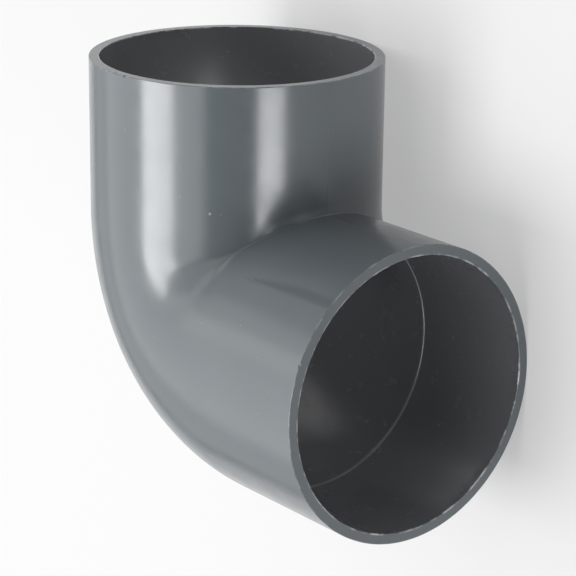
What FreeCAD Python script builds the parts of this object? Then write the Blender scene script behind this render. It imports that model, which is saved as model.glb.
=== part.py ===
import FreeCAD, Part
import enum
import math
import os
import sys

import Sketcher

# Moulded elbow for 110 mm solvent-weld PVC-U pipe, a quarter turn with a plain socket at each end.
# It is one injection moulding. The outer walls of the two legs run straight into each other at the
# throat, where they meet in a sharp mitred crease, and the heel is a smooth swept bend of the same tube.
# Inside, each pipe enters through a slightly flared mouth and slides down a parallel socket until it
# meets a narrow stop ledge. From there the waterway runs round the bend at one bore.
#
# The elbow lies on its side. One leg points along +Y and the other along +X. Their level axes cross at
# the corner, from which every reach is measured. The bend axis stands upright on the diagonal between the
# legs, nearer to the corner than the outer wall is, which is what leaves the crease at the throat.
# The finished body is shifted so that the centre of its footprint is the origin, with the floor at Z = 0.

NODE = "elbow"

# Driving dimensions in millimetres: alias, value, meaning.
DIMENSIONS = (
    ("pipe_radius", "55", "outer radius of the pipe that the sockets take"),
    ("cement_gap", "0.05", "room all round the pipe in the parallel stretch of a socket"),
    ("mouth_flare", "0.2", "how much wider than the parallel stretch a socket is at its mouth"),
    ("ledge_width", "1.05", "width of the stop ledge, from the socket wall to the waterway"),
    ("body_wall", "5.33", "wall of the bend, between the waterway and the outside"),
    ("mouth_wall", "4.3", "wall of a socket at its mouth"),
    ("axis_inset", "5.1", "how far the bend axis lies inside the waterway wall of the throat"),
    ("neck_length", "6.8", "straight waterway between the bend and a stop ledge"),
    ("socket_depth", "57.1", "depth of a socket from its mouth to its stop ledge"),
    ("flare_depth", "15", "how far in from the mouth the flare runs"),
    ("lead_in", "0.4", "edge break at the inside of a mouth"),
    ("rim_break", "0.35", "edge break at the outside of a mouth"),
)

# Sizes that follow from the driving ones, as formulas in the sheet's aliases.
SHEET = "Dimensions"
SOCKET_BORE = "Dimensions.pipe_radius + Dimensions.cement_gap"
MOUTH_BORE = SOCKET_BORE + " + Dimensions.mouth_flare"
WATERWAY = SOCKET_BORE + " - Dimensions.ledge_width"
BODY_OUTSIDE = WATERWAY + " + Dimensions.body_wall"
MOUTH_OUTSIDE = MOUTH_BORE + " + Dimensions.mouth_wall"
BEND_RADIUS = WATERWAY + " - Dimensions.axis_inset"
STOP_REACH = BEND_RADIUS + " + Dimensions.neck_length"
MOUTH_REACH = STOP_REACH + " + Dimensions.socket_depth"
FLARE_REACH = MOUTH_REACH + " - Dimensions.flare_depth"
LEAD_IN_REACH = MOUTH_REACH + " - Dimensions.lead_in"
LEAD_IN_BORE = MOUTH_BORE + " + Dimensions.lead_in"
RIM_BREAK_REACH = MOUTH_REACH + " - Dimensions.rim_break"
RIM_FACE_OUTSIDE = MOUTH_OUTSIDE + " - Dimensions.rim_break"
AXIS_LINE = "0"

QUARTER_TURN = 90.0
FULL_TURN = 360.0


class Point(enum.IntEnum):
    """Which point of a sketch line or arc a constraint holds."""

    START = 1
    END = 2
    CENTRE = 3


class Axis(enum.IntEnum):
    """A sketch's own axes, as constraints number them. The first also stands for its origin."""

    LEVEL = -1
    UPRIGHT = -2


def make_sheet(doc):
    """Write the driving dimensions into a spreadsheet, one row each."""
    sheet = doc.addObject("Spreadsheet::Sheet", SHEET)
    for row, (alias, value, meaning) in enumerate(DIMENSIONS, start=1):
        sheet.set(f"A{row}", alias)
        sheet.set(f"B{row}", value)
        sheet.set(f"C{row}", meaning)
        sheet.setAlias(f"B{row}", alias)
    doc.recompute()
    return sheet


def size(sheet, formula):
    """The present value of a formula, as a plain number of millimetres."""
    return float(sheet.evalExpression(formula))


def origin_plane(body, role):
    """One of the body's own three origin planes."""
    return next(item for item in body.Origin.OriginFeatures if item.Role == role)


def new_sketch(body, name, role):
    """An empty sketch on one of the body's origin planes."""
    sketch = body.newObject("Sketcher::SketchObject", name)
    sketch.AttachmentSupport = [(origin_plane(body, role), "")]
    sketch.MapMode = "FlatFace"
    return sketch


def join(sketch, line, following):
    """Hold the end of one line or arc on the start of the one that follows it."""
    sketch.addConstraint(Sketcher.Constraint("Coincident", line, Point.END, following, Point.START))


def bind(sketch, kind, geometry, point, formula):
    """Hold one coordinate of a sketch point at a formula's value."""
    value = size(sketch.Document.getObject(SHEET), formula)
    index = sketch.addConstraint(
        Sketcher.Constraint(kind, Axis.LEVEL, Point.START, geometry, point, value))
    sketch.setExpression(f"Constraints[{index}]", formula)


def draw_turned_profile(sketch, corners, along):
    """Close an outline through corners given as (radius, reach) and fix each corner.

    The reach runs along the sketch's own "X" or "Y", which is the leg's axis.
    """
    sheet = sketch.Document.getObject(SHEET)
    places = [pair if along == "Y" else pair[::-1] for pair in corners]
    points = [FreeCAD.Vector(size(sheet, x), size(sheet, y), 0) for x, y in places]
    for here, there in zip(points, points[1:] + points[:1]):
        sketch.addGeometry(Part.LineSegment(here, there), False)
    count = len(points)
    for line in range(count):
        join(sketch, line, (line + 1) % count)
    for line, (x, y) in enumerate(places):
        bind(sketch, "DistanceX", line, Point.START, x)
        bind(sketch, "DistanceY", line, Point.START, y)


def turn(body, kind, name, sketch, axis, angle):
    """Add or cut a solid of revolution about one of the sketch's axes."""
    feature = body.newObject(f"PartDesign::{kind}", name)
    feature.Profile = sketch
    feature.ReferenceAxis = (sketch, [axis])
    feature.Angle = angle
    sketch.Visibility = False
    return feature


def leg_outside(body, along):
    """The solid leg: a tube's outer form that widens slightly from the bend to its mouth."""
    sketch = new_sketch(body, f"Leg{along}Profile", "XY_Plane")
    corners = (
        (AXIS_LINE, BEND_RADIUS),
        (BODY_OUTSIDE, BEND_RADIUS),
        (MOUTH_OUTSIDE, RIM_BREAK_REACH),
        (RIM_FACE_OUTSIDE, MOUTH_REACH),
        (AXIS_LINE, MOUTH_REACH),
    )
    draw_turned_profile(sketch, corners, along)
    return turn(body, "Revolution", f"Leg{along}", sketch, leg_axis(along), FULL_TURN)


def leg_hollow(body, along):
    """The hollow of a leg: neck of the waterway, stop ledge, parallel socket, flare and lead-in."""
    sketch = new_sketch(body, f"Socket{along}Profile", "XY_Plane")
    corners = (
        (AXIS_LINE, BEND_RADIUS),
        (WATERWAY, BEND_RADIUS),
        (WATERWAY, STOP_REACH),
        (SOCKET_BORE, STOP_REACH),
        (SOCKET_BORE, FLARE_REACH),
        (MOUTH_BORE, LEAD_IN_REACH),
        (LEAD_IN_BORE, MOUTH_REACH),
        (AXIS_LINE, MOUTH_REACH),
    )
    draw_turned_profile(sketch, corners, along)
    return turn(body, "Groove", f"Socket{along}", sketch, leg_axis(along), FULL_TURN)


def leg_axis(along):
    """The sketch axis that a leg's profile turns about."""
    return "V_Axis" if along == "Y" else "H_Axis"


def draw_bend_section(sketch, radius):
    """A circle's section of the tube, cut off flat at the bend axis, which is the sketch's V axis.

    The tube's centre lies on the sketch's H axis, one bend radius before the bend axis. Four arcs run
    from the top of the flat over the tube's top, its far side and its underside to the flat's foot.
    """
    sheet = sketch.Document.getObject(SHEET)
    centre = FreeCAD.Vector(-size(sheet, BEND_RADIUS), 0, 0)
    reach = size(sheet, radius)
    flat_top = FreeCAD.Vector(0, math.sqrt(reach ** 2 - centre.x ** 2), 0)
    opening = math.atan2(flat_top.y, -centre.x)
    stops = (opening, math.pi / 2, math.pi, 1.5 * math.pi, 2 * math.pi - opening)
    circle = Part.Circle(centre, FreeCAD.Vector(0, 0, 1), reach)
    for here, there in zip(stops, stops[1:]):
        sketch.addGeometry(Part.ArcOfCircle(circle, here, there), False)
    flat = sketch.addGeometry(Part.LineSegment(-flat_top, flat_top), False)
    over_top, far_side, under = 0, 1, 2
    for line in range(flat + 1):
        join(sketch, line, (line + 1) % (flat + 1))
    for arc in range(1, flat):
        sketch.addConstraint(Sketcher.Constraint("Coincident", arc, Point.CENTRE, over_top, Point.CENTRE))
    sketch.addConstraint(Sketcher.Constraint("Vertical", over_top, Point.END, over_top, Point.CENTRE))
    sketch.addConstraint(Sketcher.Constraint("Vertical", under, Point.END, over_top, Point.CENTRE))
    sketch.addConstraint(Sketcher.Constraint("PointOnObject", far_side, Point.END, Axis.LEVEL))
    sketch.addConstraint(Sketcher.Constraint("PointOnObject", over_top, Point.CENTRE, Axis.LEVEL))
    sketch.addConstraint(Sketcher.Constraint("PointOnObject", flat, Point.START, Axis.UPRIGHT))
    sketch.addConstraint(Sketcher.Constraint("PointOnObject", flat, Point.END, Axis.UPRIGHT))
    inset = sketch.addConstraint(
        Sketcher.Constraint("DistanceX", over_top, Point.CENTRE, Axis.LEVEL, Point.START, -centre.x))
    sketch.setExpression(f"Constraints[{inset}]", BEND_RADIUS)
    width = sketch.addConstraint(Sketcher.Constraint("Radius", over_top, reach))
    sketch.setExpression(f"Constraints[{width}]", radius)


def bend(body, kind, name, radius):
    """A quarter turn of the tube's section about the bend axis, added or cut."""
    sketch = new_sketch(body, f"{name}Section", "XZ_Plane")
    sketch.setExpression("AttachmentOffset.Base.x", BEND_RADIUS)
    sketch.setExpression("AttachmentOffset.Base.z", f"-({BEND_RADIUS})")
    sketch.Document.recompute()
    draw_bend_section(sketch, radius)
    return turn(body, kind, name, sketch, "V_Axis", QUARTER_TURN)


def build_elbow(doc):
    """The whole moulding, as one body."""
    body = doc.addObject("PartDesign::Body", "Elbow")
    body.Label = NODE
    for along in ("Y", "X"):
        leg_outside(body, along)
    bend(body, "Revolution", "Heel", BODY_OUTSIDE)
    for along in ("Y", "X"):
        leg_hollow(body, along)
    bend(body, "Groove", "BendWaterway", WATERWAY)
    centring = f"-({MOUTH_REACH} - ({MOUTH_OUTSIDE})) / 2"
    body.setExpression("Placement.Base.x", centring)
    body.setExpression("Placement.Base.y", centring)
    body.setExpression("Placement.Base.z", MOUTH_OUTSIDE)
    return body


def check(doc, body):
    """Stop if any feature failed or the body isn't one sound solid."""
    for item in doc.Objects:
        if "Invalid" in item.State or "Error" in item.State:
            sys.exit(f"{item.Name} failed: {item.State}")
    shape = body.Shape
    if shape.isNull() or not shape.isValid() or len(shape.Solids) != 1:
        sys.exit(f"{body.Label} is not one valid solid")
    print(f"{body.Label}: {shape.Volume / 1000:.1f} cm3, box {shape.BoundBox}")


def main():
    """Build the elbow and write its solid."""
    doc = FreeCAD.newDocument("Elbow")
    make_sheet(doc)
    body = build_elbow(doc)
    doc.recompute()
    check(doc, body)
    os.makedirs("parts", exist_ok=True)
    body.Shape.exportStep(f"parts/{body.Label}.step")


main()
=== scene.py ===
"""Looks of a moulded PVC-U pipe elbow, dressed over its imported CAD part.

The elbow lies on its side on a pale floor, one leg along +Y and the other along +X. The visible skin is
one closed mesh, swept from mouth to mouth on the outside and back again through the bore, so that the
rounded rims, the stop ledges, the soft crease at the throat and the mould's parting line are all real
geometry. Lengths are real millimetres wherever a name doesn't say otherwise.
"""

import enum
import logging
import math
from dataclasses import dataclass, field

import bpy
import numpy as np
from mathutils import Matrix, Vector


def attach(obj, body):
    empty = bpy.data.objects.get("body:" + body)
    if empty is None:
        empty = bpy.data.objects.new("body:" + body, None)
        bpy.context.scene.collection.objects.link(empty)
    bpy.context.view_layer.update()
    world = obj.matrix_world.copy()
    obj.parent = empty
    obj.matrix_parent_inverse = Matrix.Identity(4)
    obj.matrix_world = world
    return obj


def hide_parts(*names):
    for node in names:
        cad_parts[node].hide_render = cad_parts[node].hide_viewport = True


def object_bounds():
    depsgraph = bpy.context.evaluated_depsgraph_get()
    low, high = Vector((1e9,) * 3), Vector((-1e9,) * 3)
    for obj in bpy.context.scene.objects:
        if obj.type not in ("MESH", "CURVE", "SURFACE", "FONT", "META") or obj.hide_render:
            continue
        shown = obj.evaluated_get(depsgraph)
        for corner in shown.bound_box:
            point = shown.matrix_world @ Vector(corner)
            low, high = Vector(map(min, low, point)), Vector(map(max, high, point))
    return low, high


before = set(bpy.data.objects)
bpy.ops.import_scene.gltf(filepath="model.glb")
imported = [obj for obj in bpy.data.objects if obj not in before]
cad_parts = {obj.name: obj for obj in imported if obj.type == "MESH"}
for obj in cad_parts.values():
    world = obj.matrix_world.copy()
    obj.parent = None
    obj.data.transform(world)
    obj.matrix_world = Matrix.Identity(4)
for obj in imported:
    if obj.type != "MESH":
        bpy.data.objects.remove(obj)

CAD_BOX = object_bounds()
METRES = 0.001
LOG = logging.getLogger("elbow")


class Leg(enum.Enum):
    """The elbow's two legs, named for the axis that each points along."""

    Y = "y"
    X = "x"


class Side(enum.Enum):
    """The two faces of the moulding's wall."""

    OUTSIDE = "outside"
    BORE = "bore"


def linear(code: str) -> tuple[float, float, float, float]:
    """Turn an sRGB hex colour to linear.

    Args:
        code: The colour as six hex digits after a hash.

    Returns:
        Linear red, green and blue, with an alpha of one.
    """
    channels = [int(code[i:i + 2], 16) / 255 for i in (1, 3, 5)]
    made = [c / 12.92 if c <= 0.04045 else ((c + 0.055) / 1.055) ** 2.4 for c in channels]
    return (made[0], made[1], made[2], 1.0)


def add_node(tree: bpy.types.NodeTree, kind: str, settings: dict | None = None,
             **links: object) -> bpy.types.Node:
    """Add one shader node with its settings and what feeds it.

    Args:
        tree: The node tree that gets the node.
        kind: The node's Blender type name.
        settings: Values of the node's own properties.
        **links: For each input, its name with underscores for blanks, or "in" and its number; the value
            is a number or colour to set, or an output socket to link.

    Returns:
        The new node.
    """
    node = tree.nodes.new(kind)
    for name, value in (settings or {}).items():
        setattr(node, name, value)
    for name, value in links.items():
        key = int(name[2:]) if name.startswith("in") and name[2:].isdigit() else name.replace("_", " ")
        if isinstance(value, bpy.types.NodeSocket):
            tree.links.new(value, node.inputs[key])
        else:
            node.inputs[key].default_value = value
    return node


def blank_material(name: str) -> bpy.types.Material:
    """Make a material whose node tree is empty.

    Args:
        name: The material's name.

    Returns:
        The new material.
    """
    made = bpy.data.materials.new(name)
    made.use_nodes = True
    made.node_tree.nodes.clear()
    return made


def add_object(name: str, data: bpy.types.ID) -> bpy.types.Object:
    """Make an object of a mesh, a lamp or a camera and link it to the scene.

    Args:
        name: The object's name.
        data: The mesh, lamp or camera.

    Returns:
        The new object.
    """
    made = bpy.data.objects.new(name, data)
    bpy.context.scene.collection.objects.link(made)
    return made


def direction(azimuth: float, elevation: float) -> Vector:
    """Turn an azimuth from +X towards +Y and an elevation, both in degrees, to a unit direction."""
    turn, climb = math.radians(azimuth), math.radians(elevation)
    return Vector((math.cos(climb) * math.cos(turn), math.cos(climb) * math.sin(turn), math.sin(climb)))


def stand(where: Vector, right: Vector, up: Vector, back: Vector) -> Matrix:
    """Place and turn of a lamp or a camera, from where it is in metres and its own three axes."""
    return Matrix.Translation(where) @ Matrix((right, up, back)).transposed().to_4x4()


def smooth_max(one: np.ndarray, other: float, blend: float) -> np.ndarray:
    """The larger of two numbers, with a soft change of the width of blend from one to the other."""
    return 0.5 * (one + other + np.sqrt((one - other) ** 2 + blend ** 2))


@dataclass(frozen=True)
class ElbowSizes:
    """Real sizes of the moulding in millimetres: radii of the tube, and reaches from the axes' corner.

    They are those of its CAD source, with three exceptions. The waterway is drawn 0.62 mm wider than the
    solid's, because the stop ledge in front of it shows as a fine line. The outside stops at box_limit,
    just within the solid. The four roundings are the skin's own, too fine for the solid. The outer draft
    ends draft_stop short of the rim.
    """

    waterway: float = 54.62
    socket: float = 55.05
    mouth: float = 55.25
    body_outside: float = 59.33
    mouth_outside: float = 59.55
    box_limit: float = 59.51
    bend_radius: float = 48.9
    stop_reach: float = 55.7
    flare_reach: float = 97.8
    mouth_reach: float = 112.8
    lead_in: float = 0.4
    edge_round: float = 0.22
    draft_stop: float = 0.35
    throat_round: float = 0.5
    ridge_round: float = 0.5
    ledge_round: float = 0.2

    def corner(self) -> np.ndarray:
        """Where the axes cross: a leg short of the CAD box's far sides, and one radius over the floor."""
        far_x, far_y, _ = CAD_BOX[1] / METRES
        return np.array([far_x - self.mouth_reach, far_y - self.mouth_reach, self.mouth_outside])

    def outside_at(self, reach: np.ndarray) -> np.ndarray:
        """Outer radius of a leg at each reach, which grows slightly from the bend to the mouth."""
        share = (reach - self.bend_radius) / (self.mouth_reach - self.draft_stop - self.bend_radius)
        return self.body_outside + (self.mouth_outside - self.body_outside) * np.clip(share, 0.0, 1.0)


@dataclass(frozen=True)
class PartingLine:
    """The witness line where the two halves of the mould met, on the outside of the tube."""

    height: float = 0.07
    half_width: float = 0.22
    offsets: tuple[float, ...] = (-0.8, -0.5, -0.34, -0.22, -0.11, 0.0, 0.11, 0.22, 0.34, 0.5, 0.8)

    def columns(self, radius: float) -> list[float]:
        """Angles in radians that the line needs round a tube of this radius, at both of its sides."""
        return [turn + step / radius for turn in (0.0, math.pi) for step in self.offsets]

    def rise(self, angle: np.ndarray, radius: np.ndarray) -> np.ndarray:
        """How far the line stands out of the skin at each angle in radians and outer radius."""
        away = np.abs(np.angle(np.exp(2j * angle))) / 2 * radius
        return self.height * np.exp(-((away / self.half_width) ** 2))


@dataclass(frozen=True)
class Waviness:
    """The slight unevenness of a thick moulded wall, which bends the edges of its reflections.

    A wave has its turns in once round the tube, its turns in each millimetre along it, and its start in
    radians. The bore's waves are turned away from the outside's.
    """

    depth: float = 0.035
    bore_turn: float = 1.0
    waves: tuple[tuple[int, float, float], ...] = (
        (3, 0.031, 0.4), (5, -0.052, 2.1), (8, 0.083, 4.0), (2, 0.121, 1.3), (11, -0.108, 5.2),
    )

    def sink(self, angle: np.ndarray, along: np.ndarray) -> np.ndarray:
        """How far the skin lies under its nominal surface at each angle and distance along the tube."""
        total = sum(np.sin(turns * angle + 2 * math.pi * rate * along + start)
                    for turns, rate, start in self.waves)
        return self.depth * (1 - total / len(self.waves)) / 2


@dataclass(frozen=True)
class RimFlash:
    """The ragged thread of flash that the core left round the inner edge of a mouth.

    A wave has its turns in once round the rim and its start in radians. Flash stands where the waves'
    mean is over the threshold, and has its full height where it is full_over above that. The shares say
    how much of it each ring of the lead-in has.
    """

    height: float = 0.16
    waves: tuple[tuple[int, float], ...] = (
        (7, 0.3), (19, 1.9), (43, 4.4), (71, 2.6), (113, 5.5), (163, 0.9),
    )
    threshold: float = 0.08
    full_over: float = 0.4
    other_leg_turn: float = 2.2
    shares: tuple[float, ...] = (0.5, 0.85, 1.0, 0.85, 0.4, 0.0)

    def rise(self, angle: np.ndarray, leg: Leg) -> np.ndarray:
        """How far the flash stands into the bore.

        Args:
            angle: Angles round the tube, in radians.
            leg: Which leg's mouth.

        Returns:
            A height of zero or more at each angle.
        """
        shift = 0.0 if leg is Leg.X else self.other_leg_turn
        total = sum(np.sin(turns * angle + start + shift * turns) for turns, start in self.waves)
        over = np.clip(total / len(self.waves) - self.threshold, 0.0, self.full_over)
        return self.height * over / self.full_over


@dataclass(frozen=True)
class RimMark:
    """A nick or a thin score in the edge of one mouth."""

    leg: Leg
    angle_deg: float
    radius: float
    across: float
    outward: float
    depth: float

    def columns(self) -> list[float]:
        """Angles round the tube that the mark needs, in radians."""
        steps = (-1.6, -1.0, -0.55, 0.0, 0.55, 1.0, 1.6)
        return [math.radians(self.angle_deg) + self.across * step / self.radius for step in steps]

    def dent(self, angle: np.ndarray, radius: float) -> np.ndarray:
        """How deep the mark cuts into the rim.

        Args:
            angle: Angles round the tube, in radians.
            radius: Radius of the ring that it acts on.

        Returns:
            The depth at each angle.
        """
        away = np.angle(np.exp(1j * (angle - math.radians(self.angle_deg)))) * self.radius / self.across
        out = (radius - self.radius) / self.outward
        return self.depth * np.exp(-(away ** 2)) * math.exp(-(out ** 2))


@dataclass(frozen=True)
class PaintedShadeStreak:
    """A faint dark streak of painted shade in one leg's skin.

    It starts as a point, keeps one straight edge and spreads to the other side until it meets the rim.
    """

    leg: Leg = Leg.X
    edge_deg: float = 45.2
    breadth_deg: float = 5.8
    start: float = 62.0
    end: float = 112.5
    full_breadth_at: float = 0.6
    taper: float = 0.7
    tip_deg: float = 0.01
    tip_along: float = 0.02
    sharp_edge: float = 4.0
    soft_edge: float = 2.5
    fade_in: float = 0.1
    fade_out: float = 0.3

    def strength(self, angle: np.ndarray, reach: np.ndarray) -> np.ndarray:
        """How much of the streak shows.

        Args:
            angle: Angles round the tube, in radians.
            reach: Distance from the corner at each angle.

        Returns:
            A share between zero and one at each place.
        """
        along = np.clip((reach - self.start) / (self.end - self.start), 0.0, 1.0)
        widened = np.clip(along / self.full_breadth_at, 0.0, 1.0) ** self.taper
        inside = (self.edge_deg - np.degrees(angle)) / (self.breadth_deg * widened + self.tip_deg)
        edges = (np.clip(inside * self.sharp_edge, 0.0, 1.0)
                 * np.clip((1 - inside) * self.soft_edge, 0.0, 1.0))
        fades = (np.clip((along + self.tip_along) / self.fade_in, 0.0, 1.0)
                 * np.clip((self.end - reach) / self.fade_out, 0.0, 1.0))
        return edges * fades


@dataclass(frozen=True)
class MouldedPvc:
    """Unplasticised PVC, injection moulded against polished steel and left as it came out.

    The eye sees a dense blue-grey plastic with a semi-gloss skin: clear but soft-edged reflections, a
    very faint orange peel, and edges that turn paler where they were knocked or trimmed. The bore is
    duller, because the core was pulled out along it, and its colour is lighter and more neutral: painted
    light in the recess of the bore. One small pip stands on the Y leg, and its pale spot is a painted
    glint. A dark streak of painted shade lies on the X leg, and a painted highlight lines the stop
    ledges. The skin's attributes say where each applies, from zero to one: wear, bore, the painted shade
    streak and the ledge.
    """

    name: str = "pvc_u_moulded_grey"
    body: str = "#575d61"
    # Lighter and more neutral than the body: painted light in the recess of the bore.
    cloud: str = "#52585c"
    bore_painted_light: str = "#6c6d70"
    # The dark colour of the painted shade streak.
    painted_shade: str = "#454c51"
    # The pale colour of scuffs and dust, also used for the painted glint and highlights.
    scuffed_and_highlight: str = "#a9aeb1"
    ior: float = 1.54
    smoothest: float = 0.17
    dullest: float = 0.25
    drawn_duller: float = 0.04
    cloud_mm: float = 28.0
    dulling_mm: float = 9.09
    dulling_span: tuple[float, float] = (0.3, 0.7)
    # The peel of a real moulding is about 0.3 mm wide. It is drawn at 0.9 mm, because finer doesn't show.
    peel_mm: float = 0.9
    peel_depth_mm: float = 0.1
    peel_strength: float = 0.05
    scuff_mm: float = 7.0
    scuff_span: tuple[float, float] = (0.45, 0.62)
    speck_mm: float = 9.0
    speck_span: tuple[float, float] = (0.02, 0.032)
    speck_paleness: float = 0.3
    pip_mm: tuple[float, float, float] = (14.21, 36.07, 102.69)
    pip_radius_mm: float = 0.8
    pip_height_mm: float = 0.2
    pip_strength: float = 0.6
    # The pale spot on the pip is a painted glint.
    pip_painted_glint: float = 0.6

    def make(self) -> bpy.types.Material:
        """Build the material.

        Returns:
            The finished material.
        """
        made = blank_material(self.name)
        tree = made.node_tree
        place = add_node(tree, "ShaderNodeTexCoord").outputs["Object"]
        in_mm = add_node(tree, "ShaderNodeMapping", Vector=place, Scale=(1 / METRES,) * 3).outputs[0]
        wear, bore, shade_streak, ledge = (
            add_node(tree, "ShaderNodeAttribute", {"attribute_name": name}).outputs["Fac"]
            for name in ("wear", "bore", "shade_streak", "ledge"))
        near_pip = add_node(tree, "ShaderNodeVectorMath", {"operation": "DISTANCE"}, in0=in_mm,
                            in1=self.pip_mm)
        # The pip's bump height, and its pale spot, which is a painted glint.
        pip_and_glint = add_node(tree, "ShaderNodeMapRange", {"interpolation_type": "SMOOTHSTEP"},
                       Value=near_pip.outputs["Value"], From_Min=0.0, From_Max=self.pip_radius_mm,
                       To_Min=self.pip_painted_glint, To_Max=0.0).outputs[0]
        pale = self.paleness(tree, in_mm, wear, bore, (pip_and_glint, ledge))
        clouds = add_node(tree, "ShaderNodeTexNoise", Vector=in_mm, Scale=1 / self.cloud_mm, Detail=3.0)
        outside = add_node(tree, "ShaderNodeMix", {"data_type": "RGBA"}, in0=clouds.outputs[0],
                           in6=linear(self.body), in7=linear(self.cloud))
        # In the bore the colour turns to the painted light of the recess.
        both_sides = add_node(tree, "ShaderNodeMix", {"data_type": "RGBA"}, in0=bore,
                              in6=outside.outputs[2], in7=linear(self.bore_painted_light))
        # Painted shade: a dark streak on the X leg.
        with_painted_shade = add_node(tree, "ShaderNodeMix", {"data_type": "RGBA"}, in0=shade_streak,
                            in6=both_sides.outputs[2], in7=linear(self.painted_shade))
        # Scuffs and dust, and the painted glint and highlights, turn the skin to one pale colour.
        colour = add_node(tree, "ShaderNodeMix", {"data_type": "RGBA"}, in0=pale,
                          in6=with_painted_shade.outputs[2], in7=linear(self.scuffed_and_highlight))
        dulling = add_node(tree, "ShaderNodeTexNoise", Vector=in_mm, Scale=1 / self.dulling_mm, Detail=5.0,
                           Roughness=0.6)
        outer_roughness = add_node(tree, "ShaderNodeMapRange", Value=dulling.outputs[0],
                                   From_Min=self.dulling_span[0], From_Max=self.dulling_span[1],
                                   To_Min=self.smoothest, To_Max=self.dullest)
        roughness = add_node(tree, "ShaderNodeMath", {"operation": "MULTIPLY_ADD"}, in0=bore,
                             in1=self.drawn_duller, in2=outer_roughness.outputs[0])
        peel = add_node(tree, "ShaderNodeTexNoise", Vector=in_mm, Scale=1 / self.peel_mm, Detail=2.0)
        peeled = add_node(tree, "ShaderNodeBump", Height=peel.outputs[0], Strength=self.peel_strength,
                          Distance=self.peel_depth_mm * METRES)
        raised = add_node(tree, "ShaderNodeBump", Height=pip_and_glint, Strength=self.pip_strength,
                          Distance=self.pip_height_mm * METRES, Normal=peeled.outputs[0])
        shader = add_node(tree, "ShaderNodeBsdfPrincipled", Base_Color=colour.outputs[2],
                          Roughness=roughness.outputs[0], Normal=raised.outputs[0], IOR=self.ior)
        add_node(tree, "ShaderNodeOutputMaterial", Surface=shader.outputs[0])
        return made

    def paleness(self, tree: bpy.types.NodeTree, in_mm: bpy.types.NodeSocket,
                 wear: bpy.types.NodeSocket, bore: bpy.types.NodeSocket,
                 others: tuple[bpy.types.NodeSocket, ...]) -> bpy.types.NodeSocket:
        """Add the nodes that say where the skin is pale: scuffed edges, settled specks and the others,
        which are painted highlights.

        Args:
            tree: The material's node tree.
            in_mm: The place on the moulding, in millimetres.
            wear: How open each place is to knocks.
            bore: Whether the place is in the bore, where no speck settles.
            others: More sockets, painted highlights, whose paleness counts where it is the largest.

        Returns:
            The socket with the largest paleness at each place.
        """
        patches = add_node(tree, "ShaderNodeTexNoise", Vector=in_mm, Scale=1 / self.scuff_mm, Detail=6.0,
                           Roughness=0.7)
        uneven = add_node(tree, "ShaderNodeMapRange", Value=patches.outputs[0],
                          From_Min=self.scuff_span[0], From_Max=self.scuff_span[1])
        scuff = add_node(tree, "ShaderNodeMath", {"operation": "MULTIPLY"}, in0=wear,
                         in1=uneven.outputs[0])
        specks = add_node(tree, "ShaderNodeTexVoronoi", Vector=in_mm, Scale=1 / self.speck_mm)
        settled = add_node(tree, "ShaderNodeMath", {"operation": "MULTIPLY_ADD"}, in0=bore,
                           in1=-self.speck_paleness, in2=self.speck_paleness)
        dust = add_node(tree, "ShaderNodeMapRange", Value=specks.outputs["Distance"],
                        From_Min=self.speck_span[0], From_Max=self.speck_span[1],
                        To_Min=settled.outputs[0], To_Max=0.0)
        largest = scuff.outputs[0]
        for other in (dust.outputs[0], *others):
            largest = add_node(tree, "ShaderNodeMath", {"operation": "MAXIMUM"}, in0=largest,
                               in1=other).outputs[0]
        return largest


@dataclass(frozen=True)
class PaintedFloor:
    """A studio floor, painted matt white, so that it only shows the elbow's soft shadow.

    The lift brings it to white for the camera and in reflections. For diffuse rays the floor also glows:
    painted light that brightens the elbow's underside beyond what the paint gives back.
    """

    name: str = "studio_floor_matt_white"
    paint: str = "#9a9a9a"
    lift: float = 0.4
    bounce_glow: float = 0.3

    def make(self) -> bpy.types.Material:
        """Build the floor's material.

        Returns:
            The finished material.
        """
        made = blank_material(self.name)
        tree = made.node_tree
        paint = add_node(tree, "ShaderNodeBsdfDiffuse", Color=linear(self.paint))
        path = add_node(tree, "ShaderNodeLightPath")
        seen = add_node(tree, "ShaderNodeMath", {"operation": "MAXIMUM"},
                        in0=path.outputs["Is Camera Ray"], in1=path.outputs["Is Glossy Ray"])
        seen_too = add_node(tree, "ShaderNodeMath", {"operation": "MAXIMUM"}, in0=seen.outputs[0],
                            in1=path.outputs["Is Transmission Ray"])
        strength = add_node(tree, "ShaderNodeMath", {"operation": "MULTIPLY"}, in0=seen_too.outputs[0],
                            in1=self.lift)
        # For diffuse rays the floor glows, painted light standing in for light bounced onto the elbow.
        glow_strength = add_node(tree, "ShaderNodeMath", {"operation": "MULTIPLY_ADD"},
                           in0=path.outputs["Is Diffuse Ray"], in1=self.bounce_glow, in2=strength.outputs[0])
        glow = add_node(tree, "ShaderNodeEmission", Strength=glow_strength.outputs[0])
        both = add_node(tree, "ShaderNodeAddShader", in0=paint.outputs[0], in1=glow.outputs[0])
        add_node(tree, "ShaderNodeOutputMaterial", Surface=both.outputs[0])
        return made


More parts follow.
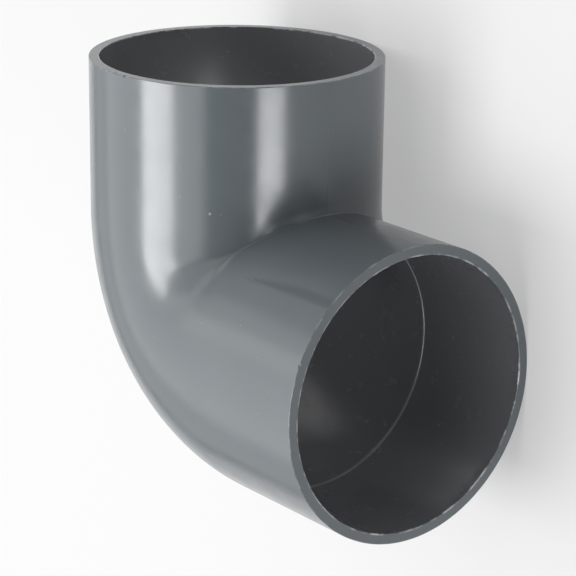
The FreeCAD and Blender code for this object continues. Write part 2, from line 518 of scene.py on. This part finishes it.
@dataclass
class ElbowMoulding:
    """The one-piece elbow: two legs, the swept heel, the creased throat, both sockets and the waterway.

    Its skin is a grid of rings, one behind the other along the tube, and columns, round the tube. The
    shares say where a stretch has its rings. Angles count from the throat. The outside blends into the
    bend up to blend_end_deg and stops doing so over blend_fade_deg. The ledges carry a painted highlight,
    which is palest at one angle round the tube.
    """

    finish: MouldedPvc
    sizes: ElbowSizes = field(default_factory=ElbowSizes)
    parting: PartingLine = field(default_factory=PartingLine)
    waviness: Waviness = field(default_factory=Waviness)
    flash: RimFlash = field(default_factory=RimFlash)
    shade_streak: PaintedShadeStreak = field(default_factory=PaintedShadeStreak)
    marks: tuple[RimMark, ...] = (
        RimMark(Leg.X, 53.9, 59.4, 0.35, 0.5, 0.18),
        RimMark(Leg.X, 67.3, 59.4, 0.5, 0.6, 0.3),
        RimMark(Leg.X, 7.7, 59.3, 0.35, 0.6, 0.22),
        RimMark(Leg.X, 127.6, 57.4, 0.12, 3.5, 0.07),
        RimMark(Leg.Y, 84.0, 59.4, 0.6, 0.5, 0.3),
        RimMark(Leg.Y, 89.5, 59.3, 0.3, 0.5, 0.2),
    )
    mark_inward: float = 0.7
    inner_wear: float = 1.0
    outer_wear: float = 0.35
    columns: int = 384
    column_gap: float = 0.006
    face_shares: tuple[float, ...] = (0.08, 0.35, 0.65, 0.92)
    behind_rim_shares: tuple[float, ...] = (0.003, 0.012)
    leg_start: float = 0.04
    leg_rows: int = 15
    flare_shares: tuple[float, ...] = (0.98, 0.7, 0.4, 0.15)
    wall_shares: tuple[float, ...] = (0.04, 0.2, 0.36, 0.52, 0.68, 0.84, 0.985)
    neck_shares: tuple[float, ...] = (0.15, 0.55, 1.0)
    bend_rows: int = 40
    bend_fineness: int = 8
    rounding_blend: float = 0.8
    settling_rounds: int = 12
    blend_end_deg: float = 130.0
    blend_fade_deg: float = 40.0
    # A painted highlight on the stop ledges, palest on one side of the bore.
    ledge_highlight: float = 0.38
    ledge_highlight_deg: float = 200.0
    ledge_least: float = 0.08

    def angles(self) -> np.ndarray:
        """Angles round the tube at which the skin has a line of points.

        Returns:
            Rising angles in radians over one full turn. Zero faces the throat.
        """
        even = np.arange(self.columns) * 2 * math.pi / self.columns
        wanted = self.parting.columns(self.sizes.body_outside)
        for mark in self.marks:
            wanted.extend(mark.columns())
        fine = np.array(wanted) % (2 * math.pi)
        lonely = [a for a in even if np.min(np.abs(np.angle(np.exp(1j * (a - fine))))) > self.column_gap]
        return np.sort(np.concatenate([lonely, fine]))

    def rounding(self, centre: tuple[float, float], size: float, start: float, end: float,
                 steps: int) -> list[tuple[float, float]]:
        """Radius and reach of an arc's points, with its angles in degrees from outward to mouthward."""
        turns = np.radians(np.linspace(start, end, steps + 1))
        return [(centre[0] + size * math.cos(t), centre[1] + size * math.sin(t)) for t in turns]

    def rim_profile(self) -> list[tuple[float, float, float, float]]:
        """The mouth's edge from the bore's lead-in over the rim face to the outer wall.

        Returns:
            For each ring its radius, reach, wear and share of the flash.
        """
        sizes = self.sizes
        inner = self.rounding((sizes.mouth + sizes.lead_in, sizes.mouth_reach - sizes.lead_in),
                              sizes.lead_in, 180, 90, len(self.flash.shares) - 1)
        outer = self.rounding((sizes.box_limit - sizes.edge_round, sizes.mouth_reach - sizes.edge_round),
                              sizes.edge_round, 90, 0, 5)
        face = [(inner[-1][0] + (outer[0][0] - inner[-1][0]) * share, sizes.mouth_reach)
                for share in self.face_shares]
        return ([(*place, self.inner_wear, share) for place, share in zip(inner, self.flash.shares)]
                + [(*place, 0.0, 0.0) for place in face]
                + [(*place, self.outer_wear, 0.0) for place in outer])

    def socket_profile(self) -> list[tuple[float, float]]:
        """The bore from just inside the mouth down to the neck of the waterway.

        Returns:
            Pairs of radius and reach.
        """
        sizes, small = self.sizes, self.sizes.ledge_round
        widening = sizes.mouth - sizes.socket
        flare_length = sizes.mouth_reach - sizes.lead_in - sizes.flare_reach
        wall_length = sizes.flare_reach - sizes.stop_reach - small
        flare = [(sizes.socket + widening * share, sizes.flare_reach + flare_length * share)
                 for share in self.flare_shares]
        wall = [(sizes.socket, sizes.flare_reach - wall_length * share) for share in self.wall_shares]
        root = self.rounding((sizes.socket - small, sizes.stop_reach + small), small, 0, -90, 3)
        lip = self.rounding((sizes.waterway + small, sizes.stop_reach - small), small, 90, 180, 4)
        return flare + wall + root + lip

    def turn_path(self, side: Side, angle: np.ndarray) -> tuple[np.ndarray, np.ndarray]:
        """The quarter turn of each line of the skin, as a path of its own.

        The heel and the whole bore turn as an even arc. Outside, beside the throat, the polished mould
        blends the turn into both legs, so the path there starts and ends gently.

        Args:
            side: Outside or bore.
            angle: Angles round the tube, in radians.

        Returns:
            Two arrays with a row for each step of the turn: how far it has gone along the leg that it
            leaves and along the leg that it joins, as shares of the whole.
        """
        off_throat = np.abs(np.angle(np.exp(1j * angle)))
        off_heel = np.clip((math.radians(self.blend_end_deg) - off_throat)
                           / math.radians(self.blend_fade_deg), 0.0, 1.0)
        if side is Side.OUTSIDE:
            gentle = off_heel ** 2 * (3 - 2 * off_heel)
        else:
            gentle = np.zeros_like(angle)
        steps = self.bend_rows * self.bend_fineness
        share = (np.arange(steps) + 0.5)[:, None] / steps
        turn = math.pi / 2 * (share - gentle * np.sin(2 * math.pi * share) / (2 * math.pi))
        leaving, joining = np.cumsum(np.cos(turn), axis=0), np.cumsum(np.sin(turn), axis=0)
        ends = np.arange(1, self.bend_rows) * self.bend_fineness - 1
        return leaving[ends] / leaving[-1], joining[ends] / joining[-1]

    def turn_start(self, side: Side, angle: np.ndarray) -> tuple[np.ndarray, np.ndarray, np.ndarray]:
        """Where each line of the skin leaves its leg and how tightly it turns to the other one.

        A line on the heel's side turns about the bend axis. One on the throat's side would cross its
        twin before it got there, and turns on a small rounding instead. A gentle turn is spread, so that
        its middle lies where an even arc has it. The outer radius hangs on the reach and the reach on
        the radius, so both are settled in rounds.

        Args:
            side: Outside or bore.
            angle: Angles round the tube, in radians.

        Returns:
            The radius of the tube, the turning radius and the reach of its start, for each angle.
        """
        sizes = self.sizes
        rounding = sizes.throat_round if side is Side.OUTSIDE else sizes.ridge_round
        blend = self.rounding_blend * rounding
        reach = np.full_like(angle, sizes.bend_radius)
        radius = np.full_like(angle, sizes.waterway)
        turning = radius
        leaving, joining = self.turn_path(side, angle)
        middle = self.bend_rows // 2 - 1
        even_middle = 2 * (1 - math.sqrt(0.5))
        spread = even_middle / (1 - leaving[middle] + joining[middle])
        for _ in range(self.settling_rounds):
            if side is Side.OUTSIDE:
                radius = sizes.outside_at(reach)
            across = radius * np.cos(angle)
            turning = smooth_max(sizes.bend_radius - across, rounding, blend) * spread
            reach = across + turning
        return radius, turning, reach

    def leg_line(self, radius: np.ndarray, reach: np.ndarray, angle: np.ndarray, leg: Leg) -> np.ndarray:
        """Place one ring of the skin on a leg.

        Args:
            radius: Radius of the ring at each angle.
            reach: Distance from the corner at each angle.
            angle: Angles round the tube, in radians.
            leg: Which leg.

        Returns:
            One point for each angle, from the corner.
        """
        across, up = radius * np.cos(angle), radius * np.sin(angle)
        pair = (across, reach) if leg is Leg.Y else (reach, across)
        return np.stack([*pair, up], axis=1)

    def dress(self, radius: np.ndarray, angle: np.ndarray, along: np.ndarray, side: Side) -> np.ndarray:
        """Give a ring's nominal radius the marks of moulding.

        Args:
            radius: Nominal radius at each angle.
            angle: Angles round the tube, in radians.
            along: Distance along the centre line, counted from the mouth of the Y leg.
            side: Outside or bore.

        Returns:
            The finished radius.
        """
        if side is Side.BORE:
            return radius + self.waviness.sink(angle + self.waviness.bore_turn, along)
        raised = radius - self.waviness.sink(angle, along) + self.parting.rise(angle, radius)
        return np.minimum(raised, self.sizes.box_limit)

    def half(self, side: Side, leg: Leg, angle: np.ndarray) -> list[np.ndarray]:
        """Rings of one leg from its mouth's edge to where the bend starts.

        Args:
            side: Outside or bore.
            leg: Which leg.
            angle: Angles round the tube, in radians.

        Returns:
            Rings of points, the mouth's first.
        """
        sizes = self.sizes
        radius, _, end = self.turn_start(side, angle)
        if side is Side.OUTSIDE:
            first = sizes.mouth_reach - sizes.edge_round
            shares = [*self.behind_rim_shares, *np.linspace(self.leg_start, 1.0, self.leg_rows)]
            reaches = [first + (end - first) * share for share in shares]
            radii = [sizes.outside_at(reach) for reach in reaches]
        else:
            fixed = self.socket_profile()
            last = fixed[-1][1]
            neck = [last + (end - last) * share for share in self.neck_shares]
            reaches = [np.full_like(angle, reach) for _, reach in fixed] + neck
            radii = [np.full_like(angle, inner) for inner, _ in fixed] + [radius for _ in neck]
        rings = []
        for nominal, reach in zip(radii, reaches):
            gone = sizes.mouth_reach - reach
            along = gone if leg is Leg.Y else self.path_length() - gone
            rings.append(self.leg_line(self.dress(nominal, angle, along, side), reach, angle, leg))
        return rings

    def path_length(self) -> float:
        """Length of the tube's centre line from mouth to mouth."""
        sizes = self.sizes
        return 2 * (sizes.mouth_reach - sizes.bend_radius) + sizes.bend_radius * math.pi / 2

    def bend(self, side: Side, angle: np.ndarray) -> list[np.ndarray]:
        """Rings of the bend between the two legs, without its first and last.

        Args:
            side: Outside or bore.
            angle: Angles round the tube, in radians.

        Returns:
            Rings of points, the one nearest to the Y leg first.
        """
        sizes = self.sizes
        radius, turning, centre = self.turn_start(side, angle)
        leaving, joining = self.turn_path(side, angle)
        rings = []
        for step in range(1, self.bend_rows):
            turn = step / self.bend_rows * math.pi / 2
            along = sizes.mouth_reach - sizes.bend_radius + sizes.bend_radius * turn
            dressed = self.dress(radius, angle, np.full_like(angle, along), side)
            out = (dressed - radius) * np.cos(angle)
            rings.append(np.stack([
                centre - turning * (1 - joining[step - 1]) + out * math.cos(turn),
                centre - turning * leaving[step - 1] + out * math.sin(turn),
                dressed * np.sin(angle),
            ], axis=1))
        return rings

    def rim(self, leg: Leg, angle: np.ndarray) -> list[np.ndarray]:
        """Rings of a mouth's edge from the bore to the outside.

        A mark cuts into the rim's face, and at the outer edge also inward.

        Args:
            leg: Which leg.
            angle: Angles round the tube, in radians.

        Returns:
            Rings of points.
        """
        rings = []
        for radius, reach, _, share in self.rim_profile():
            dents = sum(mark.dent(angle, radius) for mark in self.marks if mark.leg is leg)
            # The rings of the outer rounding, with half its breadth to spare.
            outer = radius > self.sizes.box_limit - 1.5 * self.sizes.edge_round
            inward = share * self.flash.rise(angle, leg) + (self.mark_inward * dents if outer else 0.0)
            rings.append(self.leg_line(radius - inward, reach - dents, angle, leg))
        return rings

    def rings(self) -> tuple[list[np.ndarray], list[float], list[float], list[float]]:
        """All rings of the skin in order: over the outside to the X mouth and back through the bore.

        Returns:
            The rings, and for each the wear of its place, whether it lies in the bore, and whether
            it is part of a stop ledge.
        """
        angle = self.angles()
        edge = [worn for _, _, worn, _ in self.rim_profile()]
        over = (self.half(Side.OUTSIDE, Leg.Y, angle) + self.bend(Side.OUTSIDE, angle)
                + self.half(Side.OUTSIDE, Leg.X, angle)[::-1])
        through = (self.half(Side.BORE, Leg.X, angle) + self.bend(Side.BORE, angle)[::-1]
                   + self.half(Side.BORE, Leg.Y, angle)[::-1])
        every = self.rim(Leg.Y, angle) + over + self.rim(Leg.X, angle)[::-1] + through
        wear = edge + [0.0] * len(over) + edge[::-1] + [0.0] * len(through)
        before = len(every) - len(through)
        bore = [0.0] * before + [1.0] * len(through)
        ledge_start = self.sizes.stop_reach + self.sizes.ledge_round
        of_socket = [float(reach <= ledge_start) for _, reach in self.socket_profile()]
        between = [0.0] * (len(through) - 2 * len(of_socket))
        ledge = [0.0] * before + of_socket + between + of_socket[::-1]
        return every, wear, bore, ledge

    def build(self) -> bpy.types.Object:
        """Make the skin's mesh and dress it.

        Returns:
            The elbow as one object, which stands for its CAD node.
        """
        rings, wear, bore, ledge = self.rings()
        angle = self.angles()
        rows, columns = len(rings), len(angle)
        points = (np.concatenate(rings) + self.sizes.corner()) * METRES
        row = np.repeat(np.arange(rows), columns)
        column = np.tile(np.arange(columns), rows)
        after, beside = (row + 1) % rows, (column + 1) % columns
        faces = np.stack([row * columns + column, row * columns + beside, after * columns + beside,
                          after * columns + column], axis=1)
        mesh = bpy.data.meshes.new("elbow_moulding")
        mesh.from_pydata(points.tolist(), [], faces.tolist())
        mesh.update()
        mesh.polygons.foreach_set("use_smooth", np.ones(len(faces), bool))
        reach = np.stack(rings)[:, :, 0 if self.shade_streak.leg is Leg.X else 1]
        # Where the painted shade streak darkens the outside.
        shade_streak = self.shade_streak.strength(angle[None, :], reach) * (1 - np.array(bore))[:, None]
        everywhere = np.ones(columns)
        # The ledges' pale line is a painted highlight, palest at one angle round the bore.
        facing_highlight = np.cos(angle - math.radians(self.ledge_highlight_deg))
        pale = self.ledge_highlight * np.clip(facing_highlight, self.ledge_least, 1.0)
        masks = {"wear": np.outer(wear, everywhere), "bore": np.outer(bore, everywhere), "shade_streak": shade_streak,
                 "ledge": np.outer(ledge, pale)}
        for name, values in masks.items():
            mask = mesh.attributes.new(name, "FLOAT", "POINT")
            mask.data.foreach_set("value", values.astype(np.float32).ravel())
        mesh.materials.append(self.finish.make())
        piece = add_object("elbow_moulding", mesh)
        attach(piece, "root")
        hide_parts("elbow")
        LOG.info("elbow_moulding: %d points, %d faces", len(points), len(faces))
        return piece


@dataclass(frozen=True)
class Softbox:
    """A studio softbox, placed by the two bearings that its ends are seen in from the elbow.

    A bearing is an azimuth from +X towards +Y and an elevation over the floor, both in degrees. The
    radiance is the strength of a surface that glows as brightly, for which the lamp needs
    watts_for_strength on each square metre.
    """

    name: str
    start: tuple[float, float]
    end: tuple[float, float]
    breadth_deg: float
    radiance: float
    distance_mm: float = 1700.0
    watts_for_strength: float = 4.0

    def place(self, aim: Vector) -> bpy.types.Object:
        """Set the softbox up.

        Args:
            aim: The point that it faces, in metres.

        Returns:
            The lamp.
        """
        one, other = direction(*self.start), direction(*self.end)
        middle = (one + other).normalized()
        long_way = (other - one).normalized()
        distance = self.distance_mm * METRES
        lamp = bpy.data.lights.new(self.name, "AREA")
        lamp.shape = "RECTANGLE"
        lamp.size = 2 * distance * math.tan(one.angle(other) / 2)
        lamp.size_y = 2 * distance * math.tan(math.radians(self.breadth_deg) / 2)
        lamp.energy = self.watts_for_strength * self.radiance * lamp.size * lamp.size_y
        made = add_object(self.name, lamp)
        made.matrix_world = stand(aim + middle * distance, long_way, middle.cross(long_way), middle)
        made.visible_camera = False
        LOG.info("%s: %.0f W, %.2f by %.2f m", self.name, lamp.energy, lamp.size, lamp.size_y)
        return made


@dataclass(frozen=True)
class CameraPose:
    """Where the camera stands, as a bearing from the point that it looks at, and how it is rolled."""

    azimuth: float = 21.50
    elevation: float = 35.92
    roll: float = 0.65
    distance: float = 1083.5
    aim: tuple[float, float, float] = (-12.385, -11.305, 43.44)
    lens: float = 164.39
    sensor: float = 36.0

    def place(self) -> bpy.types.Object:
        """Set the camera up, with the Y leg upright in the picture.

        Returns:
            The camera.
        """
        back = direction(self.azimuth, self.elevation)
        roll = math.radians(self.roll)
        level = (-back).cross(Vector((0, 1, 0))).normalized()
        upright = level.cross(-back)
        right = level * math.cos(roll) + upright * math.sin(roll)
        up = upright * math.cos(roll) - level * math.sin(roll)
        lens = bpy.data.cameras.new("camera")
        lens.lens = self.lens
        lens.sensor_width = self.sensor
        lens.clip_start = 0.05
        lens.clip_end = 100.0
        made = add_object("camera", lens)
        made.matrix_world = stand((Vector(self.aim) + back * self.distance) * METRES, right, up, back)
        bpy.context.scene.camera = made
        LOG.info("camera: %.0f mm lens, %.0f mm away", self.lens, self.distance)
        return made


@dataclass(frozen=True)
class Studio:
    """The pale floor, the soft lamps and the even light of the room."""

    floor: PaintedFloor = field(default_factory=PaintedFloor)
    floor_mm: float = 60000.0
    room: str = "#ffffff"
    room_level: float = 0.1
    aim_mm: tuple[float, float, float] = (-10.0, -10.0, 60.0)
    lamps: tuple[Softbox, ...] = (
        Softbox("softbox_overhead", (-112.2, 64.3), (153.6, 78.9), 26.0, 8.4),
        Softbox("scrim_overhead", (-64.3, 57.4), (26.8, 72.7), 25.0, 1.9),
        Softbox("strip_low_front", (-31.0, 10.2), (-7.0, 10.2), 19.5, 8.2),
        Softbox("bank_behind", (198.0, 4.0), (198.0, 70.0), 80.0, 0.6),
        Softbox("bank_behind_core", (200.0, 24.0), (200.0, 76.0), 60.0, 0.8),
        Softbox("bank_left", (110.0, 30.0), (168.0, 30.0), 40.0, 0.45),
        Softbox("scrim_along_leg", (84.0, 16.0), (130.0, 16.0), 34.0, 0.8),
        Softbox("scrim_above_leg", (98.0, 40.0), (98.0, 80.0), 54.0, 0.85),
    )

    def build_floor(self) -> bpy.types.Object:
        """Lay the floor under the elbow.

        Returns:
            The floor, which isn't part of the object.
        """
        half = self.floor_mm * METRES / 2
        mesh = bpy.data.meshes.new("floor")
        mesh.from_pydata([(-half, -half, 0), (half, -half, 0), (half, half, 0), (-half, half, 0)], [],
                         [(0, 1, 2, 3)])
        mesh.materials.append(self.floor.make())
        made = add_object("floor", mesh)
        LOG.info("floor: %.0f m square", self.floor_mm * METRES)
        return made

    def light_room(self) -> None:
        """Fill the room with its even light."""
        world = bpy.data.worlds.new("room")
        bpy.context.scene.world = world
        world.use_nodes = True
        world.node_tree.nodes.clear()
        light = add_node(world.node_tree, "ShaderNodeBackground", Color=linear(self.room),
                         Strength=self.room_level)
        add_node(world.node_tree, "ShaderNodeOutputWorld", Surface=light.outputs[0])

    def build(self) -> None:
        """Lay the floor and set up every lamp."""
        self.build_floor()
        self.light_room()
        aim = Vector(self.aim_mm) * METRES
        for lamp in self.lamps:
            lamp.place(aim)


def write_sizes() -> None:
    """Bring the view layer up to date."""
    bpy.context.view_layer.update()


def main() -> None:
    """Build the elbow, the studio and the camera, and report each."""
    logging.basicConfig(level=logging.INFO, format="%(name)s: %(message)s")
    bpy.context.scene.view_settings.view_transform = "Standard"
    ElbowMoulding(MouldedPvc()).build()
    Studio().build()
    CameraPose().place()
    write_sizes()


if __name__ == "__main__":
    main()
